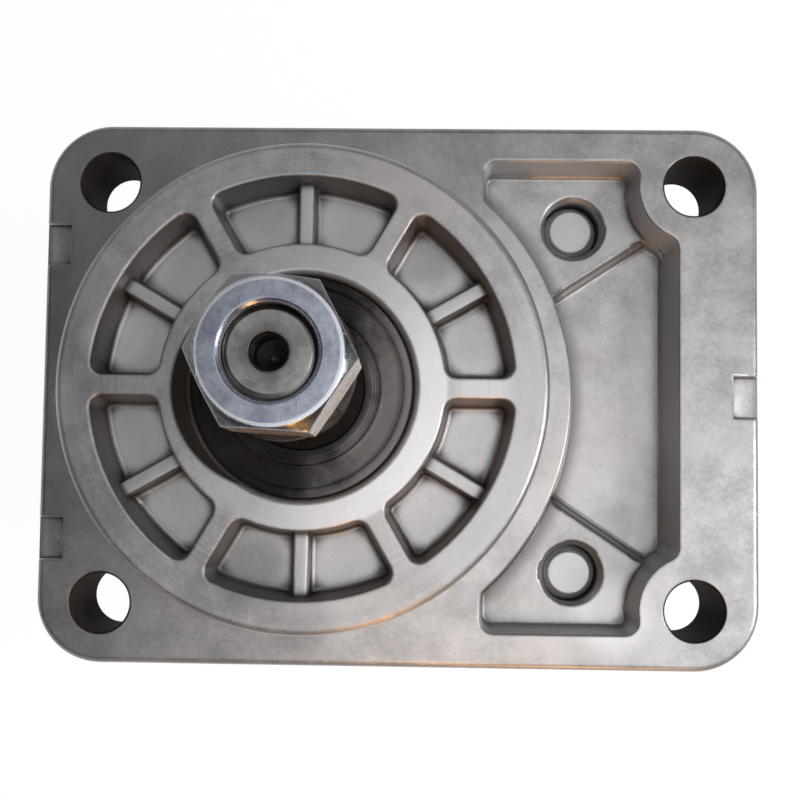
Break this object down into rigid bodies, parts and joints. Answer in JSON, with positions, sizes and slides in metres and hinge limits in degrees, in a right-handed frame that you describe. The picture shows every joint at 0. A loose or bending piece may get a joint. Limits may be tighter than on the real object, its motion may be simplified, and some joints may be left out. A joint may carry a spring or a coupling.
{
  "type": "hydraulic gear pump",
  "caption": "External gear pump with a rectangular mounting flange, round pilot, tapered keyed shaft with nut and side ports on a cast body.",
  "frame": {"origin": "on the drive shaft's axis, in the plane of the flange's mounting face", "axes": "+Z along the drive shaft towards its threaded end, +X from the drive gear to the driven gear, +Y towards the pressure port"},
  "size_m": [0.122, 0.0924, 0.1441],
  "materials": {
    "cast_aluminium": "die-cast, machined pilot face, grey with grime in the corners",
    "cover_aluminium": "die-cast, satin",
    "body_aluminium": "extruded, satin",
    "block_alloy": "machined",
    "bush_metal": "lead-bronze lined steel",
    "shaft_steel": "ground and blackened at the end",
    "gear_steel": "case-hardened, ground",
    "key_steel": "bright drawn",
    "spring_steel": "oiled spring steel",
    "zinc_steel": "zinc plated, blue passivated",
    "seal_rubber": "nitrile rubber, matt",
    "case_steel": "pressed sheet",
    "zone_rubber": "nitrile rubber",
    "backup_plastic": "polyamide, natural",
    "sleeve_steel": "ground tube",
    "bolt_steel": "zinc plated",
    "washer_steel": "zinc plated"
  },
  "bodies": {
    "housing": {"front_cover": "cast_aluminium", "rear_cover": "cover_aluminium", "pump_body": "body_aluminium", "front_block": "block_alloy", "rear_block": "block_alloy", "front_drive_bush": "bush_metal", "front_driven_bush": "bush_metal", "rear_drive_bush": "bush_metal", "rear_driven_bush": "bush_metal", "shaft_seal": "seal_rubber", "seal_spring": "spring_steel", "seal_case": "case_steel", "front_zone_seal": "zone_rubber", "rear_zone_seal": "zone_rubber", "front_zone_backup": "backup_plastic", "rear_zone_backup": "backup_plastic", "front_body_seal": "zone_rubber", "rear_body_seal": "zone_rubber", "centring_sleeves": "sleeve_steel", "body_bolts": "bolt_steel", "bolt_washers": "washer_steel"},
    "drive_train": {"drive_gear": "shaft_steel", "woodruff_key": "key_steel", "spring_washer": "spring_steel", "shaft_nut": "zinc_steel"},
    "driven_train": {"driven_gear": "gear_steel"}
  },
  "joints": [
    {"name": "drive_spin", "type": "hinge", "parent": "housing", "child": "drive_train", "pos_m": [0, 0, 0], "axis": [0, 0, 1], "continuous": true},
    {"name": "driven_spin", "type": "hinge", "parent": "housing", "child": "driven_train", "pos_m": [0.031, 0, 0], "axis": [0, 0, 1], "continuous": true}
  ],
  "couplings": [
    {"joint": "driven_spin", "follows": "drive_spin", "ratio": -1}
  ]
}
